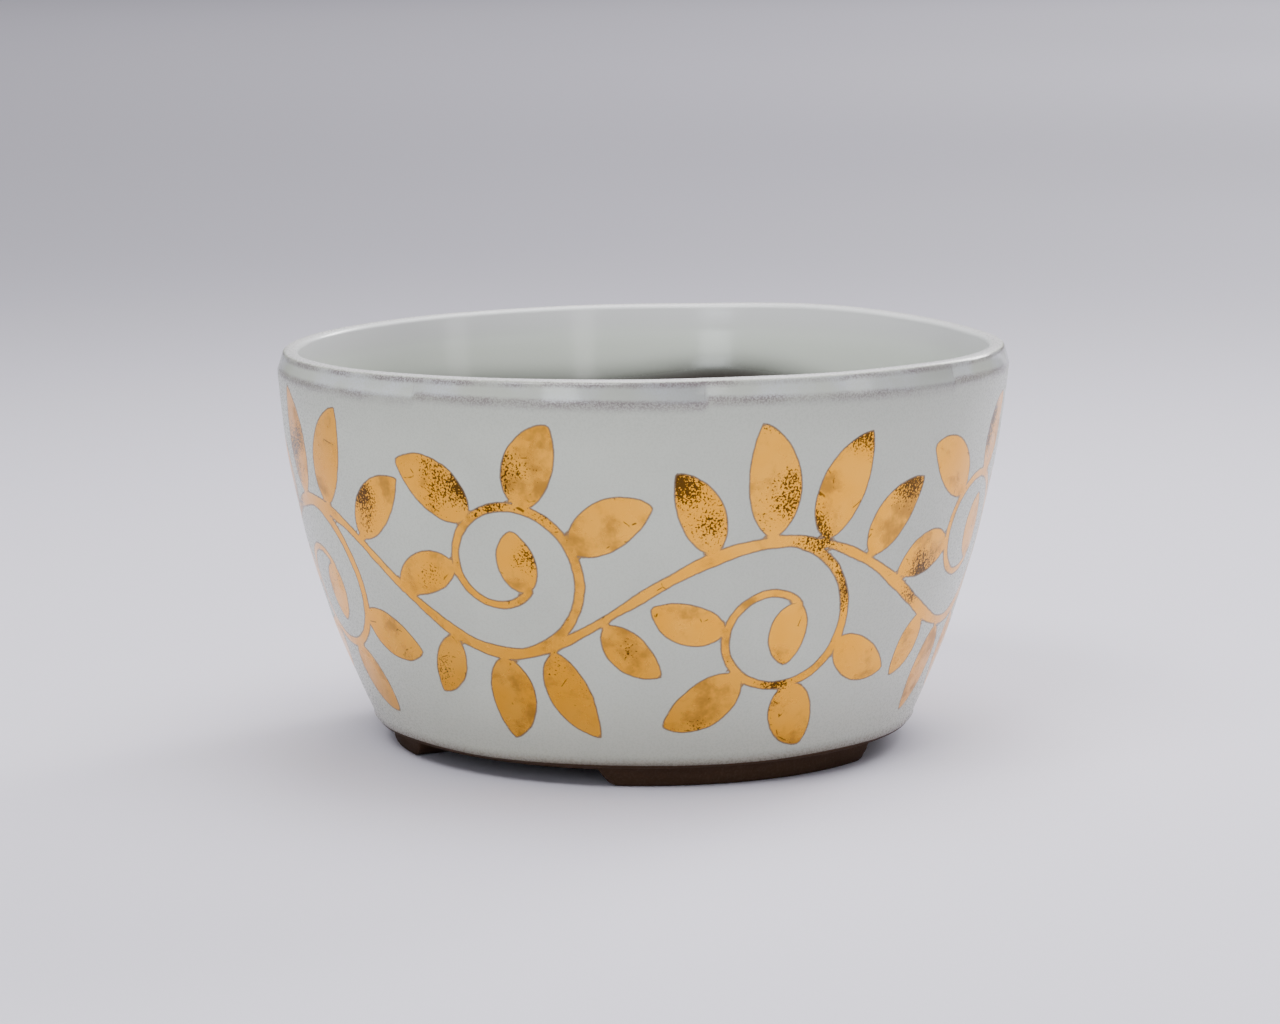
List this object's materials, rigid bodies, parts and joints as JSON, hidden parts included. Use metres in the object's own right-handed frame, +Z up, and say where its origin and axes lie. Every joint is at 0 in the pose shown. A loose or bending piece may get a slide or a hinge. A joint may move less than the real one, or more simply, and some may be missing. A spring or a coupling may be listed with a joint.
{
  "type": "footed stoneware bowl",
  "caption": "Round thrown stoneware bowl with a bevelled lip, open inside, standing on a notched foot ring; celadon glaze with gold scrollwork.",
  "frame": {"origin": "middle of the circle the feet stand on, at the level of the surface below", "axes": "+Z up out of the mouth, -Y towards the front, the side the picture shows"},
  "size_m": [0.1522, 0.1526, 0.0851],
  "materials": {
    "glazed_stoneware": "satin gloss celadon glaze over dark stoneware, with gold lustre decoration and bare clay feet"
  },
  "bodies": {
    "root": {"bowl": "glazed_stoneware"}
  },
  "joints": []
}
